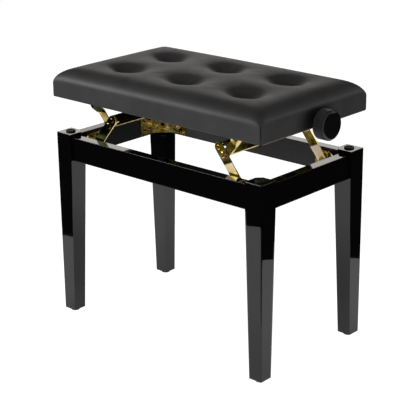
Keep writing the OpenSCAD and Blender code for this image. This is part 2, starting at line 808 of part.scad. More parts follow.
spindle();
spindle_bush(-1);  // spindle_bush_left
spindle_bush(1);  // spindle_bush_right
spindle_collars();
knob();
knob_screw();
seat_bracket(-1, -1);  // seat_bracket_front_left
seat_bracket(1, -1);  // seat_bracket_front_right
seat_bracket(-1, 1);  // seat_bracket_back_left
seat_bracket(1, 1);  // seat_bracket_back_right
seat_bracket_screws();
upper_hinge_pins();
seat_board();
long_rail(-1);  // seat_rail_front
long_rail(1);  // seat_rail_back
short_rail(-1);  // seat_rail_left
short_rail(1);  // seat_rail_right
seat_board_screws();
foam_pad();
seat_cover();
tuft_buttons();
tuft_twine();
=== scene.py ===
"""Looks for the adjustable piano bench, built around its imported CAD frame. Metres, +Z up."""

import itertools
import json
import math

import bmesh
import bpy
import numpy as np
from mathutils import Matrix, Vector


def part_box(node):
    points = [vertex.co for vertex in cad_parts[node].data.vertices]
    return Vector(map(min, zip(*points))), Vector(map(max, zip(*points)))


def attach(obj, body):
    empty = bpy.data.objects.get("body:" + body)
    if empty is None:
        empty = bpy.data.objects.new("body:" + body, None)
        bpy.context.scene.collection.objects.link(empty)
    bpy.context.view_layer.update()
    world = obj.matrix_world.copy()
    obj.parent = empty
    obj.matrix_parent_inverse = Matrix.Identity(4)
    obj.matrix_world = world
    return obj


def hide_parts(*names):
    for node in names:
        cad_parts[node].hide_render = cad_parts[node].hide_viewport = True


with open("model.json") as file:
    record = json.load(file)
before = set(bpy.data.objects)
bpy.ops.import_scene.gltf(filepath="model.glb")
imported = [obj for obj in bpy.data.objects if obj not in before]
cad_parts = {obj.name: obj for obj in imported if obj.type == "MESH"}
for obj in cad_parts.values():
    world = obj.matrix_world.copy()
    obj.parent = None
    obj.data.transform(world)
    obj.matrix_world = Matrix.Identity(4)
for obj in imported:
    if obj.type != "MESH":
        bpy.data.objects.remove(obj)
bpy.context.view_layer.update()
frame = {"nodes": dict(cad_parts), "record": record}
scene = bpy.context.scene

MM = 0.001


# ---------- places, taken from the CAD frame ----------

def middle(*nodes):
    """Middle of the box around some nodes."""
    lows, highs = zip(*(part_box(n) for n in nodes))
    low = Vector([min(p[k] for p in lows) for k in range(3)])
    high = Vector([max(p[k] for p in highs) for k in range(3)])
    return (low + high) / 2


leg_frame_mid = middle("leg_front_left", "leg_back_right")
seat_low, seat_high = (Vector(p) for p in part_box("seat_cover"))
seat_mid = (seat_low + seat_high) / 2
seat_half = (seat_high - seat_low) / 2
board_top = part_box("seat_board")[1][2]
rail_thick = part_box("seat_rail_front")[1][1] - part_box("seat_rail_front")[0][1]


# ---------- camera ----------

def add_camera():
    """The photograph's camera, as fitted to the edges of the legs and aprons."""
    azimuth, elevation, roll = (math.radians(v) for v in (42.30, 19.37, -0.64))
    distance = 2.652
    look_at = Vector((leg_frame_mid.x, -0.0037, 0.2554))
    back = Vector((
        math.sin(azimuth) * math.cos(elevation),
        -math.cos(azimuth) * math.cos(elevation),
        math.sin(elevation),
    ))
    level_right = Vector((math.cos(azimuth), math.sin(azimuth), 0))
    level_up = back.cross(level_right)
    right = level_right * math.cos(roll) + level_up * math.sin(roll)
    up = level_up * math.cos(roll) - level_right * math.sin(roll)
    data = bpy.data.cameras.new("photo_camera")
    data.sensor_width = 36
    data.lens = 112.32
    data.shift_x = 0.0050
    data.shift_y = -0.0029
    data.clip_end = 50
    camera = bpy.data.objects.new("photo_camera", data)
    turn = Matrix((right, up, back)).transposed().to_4x4()
    camera.matrix_world = Matrix.Translation(look_at + back * distance) @ turn
    scene.collection.objects.link(camera)
    scene.camera = camera


# ---------- material helpers ----------

def grey(level):
    return (level, level, level)


class Shader:
    """A new material with one Principled shader, and short calls to add nodes to it."""

    SOCKETS = {
        "color": "Base Color", "rough": "Roughness", "metal": "Metallic", "ior": "IOR",
        "specular": "Specular IOR Level", "glow": "Emission Color", "glow_power": "Emission Strength",
    }

    def __init__(self, name):
        self.material = bpy.data.materials.new(name)
        self.material.use_nodes = True
        self.nodes = self.material.node_tree.nodes
        self.links = self.material.node_tree.links
        self.bsdf = self.nodes["Principled BSDF"]
        coords = self.nodes.new("ShaderNodeTexCoord")
        self.place = coords.outputs["Object"]
        self.normal = coords.outputs["Normal"]

    def fill(self, socket, value):
        """Links a node's output to a socket, or writes a plain value into it."""
        if hasattr(value, "is_output"):
            self.links.new(value, socket)
        elif socket.type == "RGBA":
            socket.default_value = (*value, 1)
        else:
            socket.default_value = value

    def set(self, **values):
        """Sets the Principled shader's own sockets."""
        for key, value in values.items():
            self.fill(self.bsdf.inputs[self.SOCKETS[key]], value)

    def node(self, kind, inputs=(), **settings):
        """Adds a node, with its settings and what goes into its sockets."""
        node = self.nodes.new("ShaderNode" + kind)
        for key, value in settings.items():
            setattr(node, key, value)
        for key, value in dict(inputs).items():
            self.fill(node.inputs[key], value)
        return node

    def noise(self, scale, detail=3, rough=0.5, stretch=(1, 1, 1), distortion=0):
        mapping = self.node("Mapping", {"Vector": self.place, "Scale": stretch})
        return self.node("TexNoise", {
            "Vector": mapping.outputs["Vector"], "Scale": scale, "Detail": detail,
            "Roughness": rough, "Distortion": distortion,
        }).outputs["Fac"]

    def cells(self, scale):
        """Distance to the nearest edge between cells."""
        return self.node("TexVoronoi", {"Vector": self.place, "Scale": scale},
                         feature="DISTANCE_TO_EDGE").outputs["Distance"]

    def ramp(self, value, *stops):
        """Colour ramp: stops are (place, colour), a colour being a number or three numbers."""
        node = self.node("ValToRGB", {"Fac": value})
        elements = node.color_ramp.elements
        while len(elements) < len(stops):
            elements.new(0.5)
        for element, (at, colour) in zip(elements, stops):
            three = colour if isinstance(colour, tuple) else grey(colour)
            element.position = at
            element.color = (*three, 1)
        return node.outputs["Color"]

    def between(self, value, low, high):
        """A value from 0 to 1, stretched to run from low to high."""
        return self.node("MapRange", {"Value": value, "To Min": low, "To Max": high}).outputs["Result"]

    def step(self, value, at, fade, low=0.0, high=1.0):
        """low where a value is under a limit and high where it is over it, softened by fade."""
        return self.node("MapRange", {
            "Value": value, "From Min": at - fade, "From Max": at + fade, "To Min": low, "To Max": high,
        }).outputs["Result"]

    def math(self, operation, a, b=0.0):
        return self.node("Math", {0: a, 1: b}, operation=operation).outputs["Value"]

    def vector(self, operation, a, b=(0, 0, 0), output="Vector"):
        return self.node("VectorMath", {0: a, 1: b}, operation=operation).outputs[output]

    def axis(self, vector, name):
        """One of a vector's three numbers, X, Y or Z."""
        return self.node("SeparateXYZ", {0: vector}).outputs[name]

    def mix(self, factor, a, b):
        """Colour a where the factor is 0, and b where it is 1."""
        return self.node("Mix", {0: factor, 6: a, 7: b}, data_type="RGBA").outputs[2]

    def bump(self, height, strength, distance=MM):
        """Bump, on top of any that is there already."""
        normal = self.bsdf.inputs["Normal"]
        node = self.node("Bump", {"Height": height, "Strength": strength, "Distance": distance})
        if normal.is_linked:
            self.links.new(normal.links[0].from_socket, node.inputs["Normal"])
        self.links.new(node.outputs["Normal"], normal)


# ---------- materials ----------

# the ends of a painted highlight patch: this much of x is taken off the height, which puts them square
# across the slanting arm, and they fade over this distance
GLINT_SLANT = 0.45
GLINT_FADE = 1.5 * MM
# how much of a face's normal points one way: more than this if the face looks that way, and less
# than this across the arms if it is an arm's cut edge
FACE_ON = 0.7
EDGE_ON = 0.5


def black_lacquer(name, inner=None, shade=1.0, rounded=1.5 * MM, dull=0.03):
    """Polished black lacquer.
    inner: the direction that an apron's plain stained face looks in.
    shade: how light that stained face is; below 1 it is painted shade, for a face that gets less light.
    rounded: radius of the shaded edges, None for sharp ones.
    dull: roughness where the polish is best."""
    s = Shader(name)
    if rounded:
        soft_edges = s.node("Bevel", {"Radius": rounded}, samples=8)
        s.links.new(soft_edges.outputs["Normal"], s.bsdf.inputs["Normal"])
    gloss = s.between(s.noise(9, 4), dull, dull * 2)
    black = (0.0016, 0.0016, 0.0018)
    s.set(ior=1.5)
    if inner is None:
        s.set(color=black, rough=gloss)
    else:
        facing = s.vector("DOT_PRODUCT", s.normal, inner, output="Value")
        stained = s.math("GREATER_THAN", facing, FACE_ON)
        grain = s.noise(60, 4, stretch=(1, 1, 9))
        # painted shade: a shade under 1 darkens the stain and its shine
        stain = s.ramp(grain, (0.3, 0.012 * shade), (0.7, 0.022 * shade))
        rough = s.node("Mix", {0: stained, 2: gloss, 3: 0.55}).outputs[0]
        s.set(color=s.mix(stained, black, stain), rough=rough, specular=0.5 * shade)
    s.bump(s.noise(70, 2), 0.012)
    return s.material


def yellow_plate(name, painted_shade_within=None, painted_glint_band=None, painted_reflection_band=None, shade_gold=0.085, dented=0.12):
    """Bright steel with a yellow zinc plating, whose tint drifts between gold, olive and green.
    painted_shade_within: closer to the bench's middle plane than this, under the seat, the plating is
    painted dull and dark as shade and dark reflections.
    painted_glint_band: heights, less GLINT_SLANT of x, between which the plating is painted pale, a
    painted highlight.
    painted_reflection_band: heights between which it is painted bright gold, as its cut edges are, a
    painted reflection of light; the rest is painted nearly black, a painted dark reflection.
    shade_gold: how light that painted shade gets.
    dented: strength of the soft dents that pressing leaves."""
    s = Shader(name)
    drift = s.noise(26, 4, distortion=0.8)
    tint = s.ramp(
        drift, (0.30, (0.07, 0.11, 0.035)), (0.40, (0.36, 0.28, 0.022)), (0.50, (0.72, 0.50, 0.06)),
        (0.58, (0.90, 0.70, 0.30)), (0.66, (0.58, 0.42, 0.04)), (0.76, (0.24, 0.26, 0.05)),
    )
    height = s.axis(s.place, "Z")
    metal, specular = 0.92, 0.3
    # painted reflection: a bright gold band and gold cut edges, with the rest painted nearly black
    # green
    if painted_reflection_band:
        above = s.math("GREATER_THAN", height, painted_reflection_band[0])
        below = s.math("LESS_THAN", height, painted_reflection_band[1])
        cut_edge_glint = s.math("LESS_THAN", s.math("ABSOLUTE", s.axis(s.normal, "Y")), EDGE_ON)
        painted_lit = s.math("MAXIMUM", s.math("MULTIPLY", above, below), cut_edge_glint)
        green = s.ramp(drift, (0.46, (0.006, 0.013, 0.006)), (0.70, (0.05, 0.055, 0.012)))
        gold = s.ramp(drift, (0.40, (0.62, 0.44, 0.07)), (0.62, (1.0, 0.80, 0.34)))
        tint = s.mix(painted_lit, green, gold)
        metal = s.between(painted_lit, metal, 0.5)
    # painted shade: near the middle plane, under the seat, the plating is darkened and its metal and
    # shine taken off, for the shade and dark reflections there
    if painted_shade_within:
        in_painted_shade = s.math("LESS_THAN", s.math("ABSOLUTE", s.axis(s.place, "Y")), painted_shade_within)
        olive = (shade_gold, 0.77 * shade_gold, 0.07 * shade_gold)
        dull = s.ramp(drift, (0.42, (0.010, 0.009, 0.005)), (0.60, olive))
        tint = s.mix(in_painted_shade, tint, dull)
        metal = s.math("MULTIPLY", metal, s.math("SUBTRACT", 1.0, in_painted_shade))
        specular = s.between(in_painted_shade, specular, 0.0)
    # painted highlight: a pale, non-metal band across the slanting arm
    if painted_glint_band:
        slant = s.math("SUBTRACT", height, s.math("MULTIPLY", s.axis(s.place, "X"), GLINT_SLANT))
        starts = s.step(slant, painted_glint_band[0], GLINT_FADE)
        ends = s.step(slant, painted_glint_band[1], GLINT_FADE, low=1.0, high=0.0)
        glint_patch = s.math("MULTIPLY", starts, ends)
        pale = s.ramp(s.noise(60, 3), (0.42, (1.0, 0.78, 0.40)), (0.62, (1.0, 0.80, 0.68)))
        tint = s.mix(glint_patch, tint, pale)
        metal = s.between(glint_patch, metal, 0.0)
    s.set(color=tint, metal=metal, rough=s.between(s.noise(70, 5), 0.08, 0.34), specular=specular)
    s.bump(s.noise(500, 2, stretch=(1, 6, 1)), 0.05, 0.2 * MM)
    s.bump(s.noise(55, 3), dented)
    return s.material


def dark_plate():
    """The same plating in a darker tint, for fasteners and for the left elbow's rod and rivets."""
    s = Shader("dark_plate")
    tint = s.ramp(s.noise(160, 3), (0.35, (0.10, 0.075, 0.02)), (0.65, (0.34, 0.25, 0.06)))
    s.set(color=tint, metal=1.0, rough=s.between(s.noise(300, 3), 0.08, 0.2))
    return s.material


def turned_steel():
    """Bare steel with fine lines from turning."""
    s = Shader("turned_steel")
    shade = s.ramp(s.noise(120, 4), (0.3, (0.38, 0.38, 0.39)), (0.7, (0.55, 0.55, 0.56)))
    s.set(color=shade, metal=1.0, rough=s.between(s.noise(300, 3), 0.22, 0.4))
    s.bump(s.noise(900, 2, stretch=(8, 1, 1)), 0.1, 0.1 * MM)
    return s.material


def black_leather():
    """Artificial leather: fine pebbled grain, satin, with painted shade that darkens its colour where
    it is closed in, as in the tufts.
    """
    s = Shader("black_leather")
    tone = s.ramp(s.noise(22, 4), (0.3, (0.028, 0.028, 0.0295)), (0.7, (0.037, 0.037, 0.0375)))
    # painted shade: the colour darkens where ambient occlusion finds the leather closed in, in the
    # tufts and round the knob
    open_sky = s.node("AmbientOcclusion", {"Distance": 35 * MM}, samples=8).outputs["AO"]
    tone = s.mix(s.ramp(open_sky, (0.70, 0.0), (0.97, 1.0)), (0.008, 0.008, 0.009), tone)
    s.set(color=tone, rough=s.between(s.noise(35, 4), 0.46, 0.55), ior=1.5)
    s.bump(s.noise(55, 4), 0.10)
    pebble = s.ramp(s.cells(1150), (0.0, 0.0), (0.28, 1.0))
    s.bump(pebble, 0.25, 0.10 * MM)
    return s.material


def moulded_black(name, shade, rough):
    """Black rubber or thread, a little uneven in tone and gloss."""
    s = Shader(name)
    tone = s.ramp(s.noise(60, 3), (0.3, shade * 0.85), (0.7, shade * 1.15))
    s.set(color=tone, rough=s.between(s.noise(140, 4), rough * 0.85, rough * 1.15))
    s.bump(s.noise(1500, 2), 0.08, 0.1 * MM)
    return s.material


def knob_plastic():
    """The knob: a nearly black face, a ribbed side with painted highlights on its rib tops, and a
    painted highlight ring between.
    """
    low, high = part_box("knob")
    radius = (high[2] - low[2]) / 2
    ring_starts = high[0] - 1.6 * MM
    side_starts = high[0] - 4.3 * MM
    rib_tops_from = radius - 0.4 * MM
    s = Shader("knob_plastic")
    along = s.axis(s.place, "X")
    from_middle = s.vector("ADD", s.place, middle("knob") * -1)
    from_axis = s.vector("LENGTH", s.vector("MULTIPLY", from_middle, (0, 1, 1)), output="Value")
    # painted highlights: the rib tops are painted light grey, and a light ring is painted behind the
    # face's rim, as where they catch the light
    rib_top_highlight = s.math("GREATER_THAN", from_axis, rib_tops_from)
    side = s.math("LESS_THAN", along, side_starts)
    behind_face = s.math("LESS_THAN", along, ring_starts)
    ring = s.math("MULTIPLY", behind_face, s.math("SUBTRACT", 1.0, side))
    face_tone = s.ramp(s.noise(60, 3), (0.3, 0.0020), (0.7, 0.0028))
    side_tone = s.mix(rib_top_highlight, grey(0.004), grey(0.042))
    tone = s.mix(ring, s.mix(side, face_tone, side_tone), grey(0.04))
    s.set(color=tone, rough=s.between(s.noise(140, 4), 0.30, 0.40))
    s.bump(s.noise(1500, 2), 0.08, 0.1 * MM)
    return s.material


def stained_plywood():
    """Plywood under a thin black stain that lets a little of the grain through."""
    s = Shader("stained_plywood")
    grain = s.noise(45, 6, rough=0.65, stretch=(1, 12, 12), distortion=0.4)
    colour = s.ramp(grain, (0.3, 0.005), (0.6, (0.011, 0.010, 0.009)), (0.85, (0.022, 0.018, 0.014)))
    s.set(color=colour, rough=s.between(grain, 0.62, 0.78))
    s.bump(grain, 0.25, 0.2 * MM)
    return s.material


def lining_cloth():
    s = Shader("lining_cloth")
    tone = s.ramp(s.noise(400, 3), (0.3, (0.15, 0.115, 0.07)), (0.7, (0.21, 0.165, 0.10)))
    s.set(color=tone, rough=0.9)
    s.bump(s.cells(1400), 0.4, 0.2 * MM)
    return s.material


def soft_foam():
    s = Shader("soft_foam")
    tone = s.ramp(s.noise(90, 4), (0.3, (0.60, 0.54, 0.34)), (0.7, (0.72, 0.66, 0.44)))
    s.set(color=tone, rough=0.95)
    s.bump(s.cells(700), 0.6, 0.4 * MM)
    return s.material


def waxed_twine():
    s = Shader("waxed_twine")
    strands = s.noise(900, 2, stretch=(1, 1, 3))
    s.set(color=s.ramp(strands, (0.3, (0.55, 0.5, 0.4)), (0.7, (0.75, 0.7, 0.6))), rough=0.6)
    return s.material


# ---------- CAD nodes: bevelled edges and materials ----------

def dress(obj, material, bevel, segments):
    """Gives an object a material and, if asked, softened edges."""
    obj.data.materials.clear()
    obj.data.materials.append(material)
    if bevel:
        weld = obj.modifiers.new("weld", "WELD")
        weld.merge_threshold = 0.01 * MM
        soft = obj.modifiers.new("edges", "BEVEL")
        soft.width = bevel
        soft.segments = segments
        soft.limit_method = "ANGLE"
        soft.angle_limit = math.radians(35)
        soft.harden_normals = True


def own_materials():
    """Materials of the nodes that don't look like the rest of their material slot."""
    # the webs of the upper arms and the cross plates lie nearer to the middle plane than this
    web_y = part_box("upper_arm_right")[1][1] - 17 * MM
    # painted shade: the left webs get a darker painted shade than the right ones
    left_web_shade_gold = 0.008
    own = {}
    # painted reflection band on this arm, and painted shade on its web
    own["upper_arm_left"] = yellow_plate(
        "plate_upper_arm_left", painted_shade_within=web_y, painted_reflection_band=(0.430, 0.449), shade_gold=left_web_shade_gold)
    own["upper_arm_right"] = own["cross_plate_right"] = yellow_plate(
        "yellow_plate_web", painted_shade_within=web_y)
    own["cross_plate_left"] = yellow_plate(
        "yellow_plate_far_web", painted_shade_within=web_y, shade_gold=left_web_shade_gold)
    # painted reflection: a bright gold band across this arm, near black elsewhere
    own["lower_arm_front_left"] = yellow_plate("plate_lower_arm_front_left", painted_reflection_band=(0.300, 0.372))
    # painted highlights: pale bands across these two lower arms
    for name, heights in (("lower_arm_front_right", (0.3265, 0.344)),
                          ("lower_arm_back_right", (0.260, 0.3205))):
        own[name] = yellow_plate("plate_" + name, painted_glint_band=heights)
    pressed = yellow_plate("pressed_yellow_plate", dented=0.45)
    for corner in ("front_left", "front_right", "back_left", "back_right"):
        own["corner_bracket_" + corner] = pressed
    fastener = dark_plate()
    for name in ("corner_bracket_screws", "hinge_bracket_screws", "hanger_bolts", "elbow_rod_left",
                 "arm_rivets_left"):
        own[name] = fastener
    own["leg_front_right"] = black_lacquer("near_leg_lacquer", rounded=5 * MM, dull=0.012)
    own["leg_back_left"] = black_lacquer("far_leg_lacquer", rounded=None)
    # the left apron's stained inner face at 0.35 is painted shade, darker than the other aprons'
    # because it gets less light
    for name, inner, shade in (("apron_front", (0, 1, 0), 1.0), ("apron_back", (0, -1, 0), 1.0),
                               ("apron_left", (1, 0, 0), 0.35), ("apron_right", (-1, 0, 0), 1.0)):
        own[name] = black_lacquer("lacquer_" + name, inner, shade)
    return own


def dress_cad(leather):
    """Dresses each CAD node by its material slot, or with its own material."""
    # material, width of the softened edges and their segments
    looks = {
        "yellow_plated_steel": (yellow_plate("yellow_plate"), 0.3 * MM, 2),
        "steel": (turned_steel(), None, 2),
        "plywood": (stained_plywood(), 0.4 * MM, 2),
        "rubber": (moulded_black("bumper_rubber", 0.018, 0.6), None, 2),
        "knob_plastic": (knob_plastic(), 0.35 * MM, 2),
        "twine": (waxed_twine(), None, 2),
        "foam": (soft_foam(), None, 2),
        "leather": (leather, None, 2),
        "lacquered_wood": (black_lacquer("black_lacquer"), 1.0 * MM, 4),
    }
    own = own_materials()
    slots = {row["node"]: row["material_slot"] for row in frame["record"]["subparts"]}
    for name, obj in frame["nodes"].items():
        material, bevel, segments = looks[slots[name]]
        if name.endswith(("screws", "pins", "nuts", "bolts")):
            bevel = None
        dress(obj, own.get(name, material), bevel, segments)


# ---------- cushion ----------

# a tuft: an oval dent in the leather, longer along x, with a small pit for its button
TUFT_R = 30 * MM
TUFT_FLOOR = 14.5 * MM
TUFT_STRETCH = 1.3
TUFT_STEEPNESS = 3.1
PIT_R = 11 * MM
PIT_FLOOR = 3.5 * MM
# the leather is held to the foam within this distance of a tuft's middle
TUFT_HELD_R = 5.5 * MM
TWINE_WIDTH = 1.6 * MM
# the wide shallow hollow around each tuft
PILLOW_R = 58 * MM
PILLOW_FLOOR = 1.2 * MM
# how the top bends down to the sides: its width along x and y, its depth and its curve,
# and how the two bends meet in the corners
SHOULDER_RUN = (56 * MM, 42 * MM)
SHOULDER_DROP = 24 * MM
SHOULDER_CURVE = (2.3, 1.7)
CORNER_CURVE = 2.4
CORNER_DROP = SHOULDER_DROP * 1.15
# how much lower the top is at its ends and at its long sides than in the middle
CROWN = (1.5 * MM, 0.9 * MM)
# the grid of the top: fine steps beside its edges, even ones between
EDGE_STEPS = (1.2 * MM, 2 * MM, 3 * MM, 4 * MM, 5 * MM, 5 * MM)
EVEN_STEP = 5 * MM
PLAN_ROUND = 3.5 * MM
# the sides: their rows of faces, and how far above the seat's lower edge they end
SIDE_ROWS = 11
SIDE_END = 0.9 * MM
# the rims under the rails: how far in from the side, and how far below the sides' end
UNDER_RIMS = ((0.7 * MM, -0.7 * MM), (3 * MM, -0.9 * MM), (rail_thick - 2 * MM, -0.9 * MM))
LEATHER_THICK = 1.1 * MM


def steps(half):
    """Places from -half to half: fine steps near both ends, even ones between."""
    edge = list(itertools.accumulate(EDGE_STEPS))
    inner = half - edge[-1]
    count = round(2 * inner / EVEN_STEP)
    near_start = [-half] + [-half + e for e in edge[:-1]]
    even = [-inner + 2 * inner * k / count for k in range(count + 1)]
    near_end = [half - e for e in reversed(edge[:-1])] + [half]
    return near_start + even + near_end


def tuft_places():
    """Middles of the tufts, from the twine in the frame: three along x, two along y."""
    verts = np.array([v.co for v in frame["nodes"]["tuft_twine"].data.vertices])
    low, high = verts.min(axis=0), verts.max(axis=0)
    mid = (low + high) / 2
    pitch_x = (high[0] - low[0] - TWINE_WIDTH) / 2
    pitch_y = high[1] - low[1] - TWINE_WIDTH
    return [(mid[0] + i * pitch_x, mid[1] + j * pitch_y) for i in (-1, 0, 1) for j in (-0.5, 0.5)]


def shoulder(distance, run):
    """How far the top has dropped at a distance in from the edge: a quarter of a superellipse."""
    if distance >= run:
        return 0.0
    outer, inner = SHOULDER_CURVE
    return SHOULDER_DROP * (1 - (1 - (1 - distance / run) ** outer) ** (1 / inner))


def top_height(x, y, tufts):
    """Height of the leather's top over a place on the seat."""
    from_end = seat_half.x - abs(x - seat_mid.x)
    from_side = seat_half.y - abs(y - seat_mid.y)
    drop_x = shoulder(from_end, SHOULDER_RUN[0])
    drop_y = shoulder(from_side, SHOULDER_RUN[1])
    drop = (drop_x ** CORNER_CURVE + drop_y ** CORNER_CURVE) ** (1 / CORNER_CURVE)
    z = seat_high.z - min(drop, CORNER_DROP)
    z -= CROWN[0] * ((x - seat_mid.x) / seat_half.x) ** 2
    z -= CROWN[1] * ((y - seat_mid.y) / seat_half.y) ** 2
    for tx, ty in tufts:
        oval = math.hypot((x - tx) / TUFT_STRETCH, y - ty)
        z -= TUFT_FLOOR * math.exp(-(oval / TUFT_R) ** TUFT_STEEPNESS)
        away = math.hypot(x - tx, y - ty)
        z -= PILLOW_FLOOR * math.exp(-(away / PILLOW_R) ** 2)
        if away < PIT_R:
            t = 1 - away / PIT_R
            z -= PIT_FLOOR * t * t * (3 - 2 * t)
    return z


def in_plan(x, y):
    """A place on the seat, drawn in so that the plan's corners are rounded a little."""
    over_x = max(0.0, abs(x) - (seat_half.x - PLAN_ROUND))
    over_y = max(0.0, abs(y) - (seat_half.y - PLAN_ROUND))
    px, py = seat_mid.x + x, seat_mid.y + y
    far = math.hypot(over_x, over_y)
    if far > 0:
        cut = 1 - max(over_x, over_y) / far
        px -= math.copysign(over_x * cut, x)
        py -= math.copysign(over_y * cut, y)
    return px, py


def bridge(bm, upper, lower):
    """A band of faces between two closed rings of vertices."""
    count = len(upper)
    for k in range(count):
        n = (k + 1) % count
        bm.faces.new((upper[k], lower[k], lower[n], upper[n]))


def add_top(bm, tufts):
    """The top of the leather as a grid. Returns its outer ring of vertices."""
    xs, ys = steps(seat_half.x), steps(seat_half.y)
    grid = []
    for x in xs:
        row = []
        for y in ys:
            z = top_height(seat_mid.x + x, seat_mid.y + y, tufts)
            row.append(bm.verts.new((*in_plan(x, y), z)))
        grid.append(row)
    for near, far in zip(grid, grid[1:]):
        for j in range(len(ys) - 1):
            bm.faces.new((near[j], far[j], far[j + 1], near[j + 1]))
    front = [row[0] for row in grid]
    right = grid[-1][1:]
    back = [row[-1] for row in reversed(grid[:-1])]
    left = grid[0][-2:0:-1]
    return front + right + back + left


def add_sides(bm, ring):
    """The leather's sides, and its rims under the rails."""
    bottom = seat_low.z + SIDE_END
    previous = ring
    for k in range(1, SIDE_ROWS + 1):
        t = k / SIDE_ROWS
        level = [bm.verts.new((v.co.x, v.co.y, v.co.z * (1 - t) + bottom * t)) for v in ring]
        bridge(bm, previous, level)
        previous = level
    for inset, drop in UNDER_RIMS:
        shrink_x = (seat_half.x - inset) / seat_half.x
        shrink_y = (seat_half.y - inset) / seat_half.y
        level = []
        for v in ring:
            x = seat_mid.x + (v.co.x - seat_mid.x) * shrink_x
            y = seat_mid.y + (v.co.y - seat_mid.y) * shrink_y
            level.append(bm.verts.new((x, y, bottom + drop)))
        bridge(bm, previous, level)
        previous = level


def new_object(name, mesh, material):
    """Puts a mesh into the scene, in one material."""
    obj = bpy.data.objects.new(name, mesh)
    scene.collection.objects.link(obj)
    mesh.materials.append(material)
    return obj


def smooth_mesh(bm, name):
    """Turns a bmesh into a smoothly shaded mesh."""
    mesh = bpy.data.meshes.new(name)
    bm.to_mesh(mesh)
    bm.free()
    for polygon in mesh.polygons:
        polygon.use_smooth = True
    return mesh


def build_cushion(material):
    """The leather from the underside of one rail, up the side, over the top and down again."""
    tufts = tuft_places()
    bm = bmesh.new()
    add_sides(bm, add_top(bm, tufts))
    bmesh.ops.recalc_face_normals(bm, faces=bm.faces)
    top_from = seat_high.z - 5 * MM
    # the mesh is open below, so its normals may have come out inwards
    if sum(f.normal.z for f in bm.faces if f.calc_center_median().z > top_from) < 0:
        bmesh.ops.reverse_faces(bm, faces=bm.faces)
    cushion = new_object("seat_leather", smooth_mesh(bm, "seat_leather"), material)
    puff(cushion, tufts)
    sew(cushion)
    smooth = cushion.modifiers.new("smooth", "SUBSURF")
    smooth.levels = 1
    smooth.render_levels = 1
    thick = cushion.modifiers.new("thickness", "SOLIDIFY")
    thick.thickness = LEATHER_THICK
    thick.offset = -1
    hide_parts("seat_cover", "foam_pad")
    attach(cushion, "seat")


def puff(cushion, tufts):
    """Inflates the leather over its foam with a short cloth simulation, held at tufts and rails."""
    rest = np.array([v.co for v in cushion.data.vertices])
    held = []
    for index, (x, y, z) in enumerate(rest):
        to_tuft = min(math.hypot(x - tx, y - ty) for tx, ty in tufts)
        if z < board_top + 3 * MM or to_tuft < TUFT_HELD_R:
            held.append(index)
    cushion.vertex_groups.new(name="held").add(held, 1.0, "ADD")
    cloth = cushion.modifiers.new("cloth", "CLOTH")
    settings = cloth.settings
    settings.quality = 6
    settings.mass = 0.4
    settings.tension_stiffness = 12
    settings.compression_stiffness = 8
    settings.shear_stiffness = 5
    settings.bending_stiffness = 1.5
    settings.use_pressure = True
    settings.uniform_pressure_force = 3.5
    settings.vertex_group_mass = "held"
    settings.effector_weights.gravity = 0
    cloth.collision_settings.use_collision = False
    last_frame = 20
    for number in range(1, last_frame + 1):
        scene.frame_set(number)
    inflated = cushion.evaluated_get(bpy.context.evaluated_depsgraph_get())
    moved = np.array([v.co for v in inflated.to_mesh().vertices]) - rest
    inflated.to_mesh_clear()
    cushion.modifiers.remove(cloth)
    # no place moves further than this
    furthest = 6 * MM
    length = np.linalg.norm(moved, axis=1, keepdims=True)
    moved *= np.minimum(1, furthest / np.maximum(length, 1e-9))
    for v, shift in zip(cushion.data.vertices, moved):
        v.co += Vector(shift)
    scene.frame_set(1)


def sew(cushion):
    """Draws in the upright corner seams and keeps the top from standing too high."""
    highest = seat_high.z + 3 * MM
    seam_top = seat_high.z - 8 * MM
    reach = 12 * MM
    depth = 1.3 * MM
    half_width = 1.5 * MM
    for v in cushion.data.vertices:
        v.co.z = min(v.co.z, highest)
        x = seat_half.x - abs(v.co.x - seat_mid.x)
        y = seat_half.y - abs(v.co.y - seat_mid.y)
        if math.hypot(x, y) < reach and v.co.z < seam_top:
            side_x = math.copysign(1, v.co.x - seat_mid.x)
            side_y = math.copysign(1, v.co.y - seat_mid.y)
            out = Vector((side_x, side_y, 0)).normalized()
            v.co -= out * depth * math.exp(-((x - y) / half_width) ** 2)


def build_seams(material):
    """A thin sewn welt in each upright corner seam of the leather."""
    radius, sides = 1.2 * MM, 10
    # heights of the welt's rings, and how far in from the sides their middles are
    course = (
        (seat_low.z + 1 * MM, 2.3 * MM), (seat_mid.z, 2.3 * MM), (seat_high.z - 31 * MM, 2.5 * MM),
        (seat_high.z - 27 * MM, 3.4 * MM), (seat_high.z - 24 * MM, 5.5 * MM),
    )
    turns = [2 * math.pi * k / sides for k in range(sides)]
    circle = [radius * Vector((math.cos(turn), math.sin(turn), 0)) for turn in turns]
    bm = bmesh.new()
    for side_x, side_y in itertools.product((-1, 1), repeat=2):
        rings = []
        for z, inset in course:
            x = seat_mid.x + side_x * (seat_half.x - inset)
            y = seat_mid.y + side_y * (seat_half.y - inset)
            rings.append([bm.verts.new(Vector((x, y, z)) + spoke) for spoke in circle])
        for upper, lower in zip(rings, rings[1:]):
            bridge(bm, upper, lower)
        bm.faces.new(rings[0])
        bm.faces.new(rings[-1])
    bmesh.ops.recalc_face_normals(bm, faces=bm.faces)
    seams = new_object("seat_seams", smooth_mesh(bm, "seat_seams"), material)
    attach(seams, "seat")


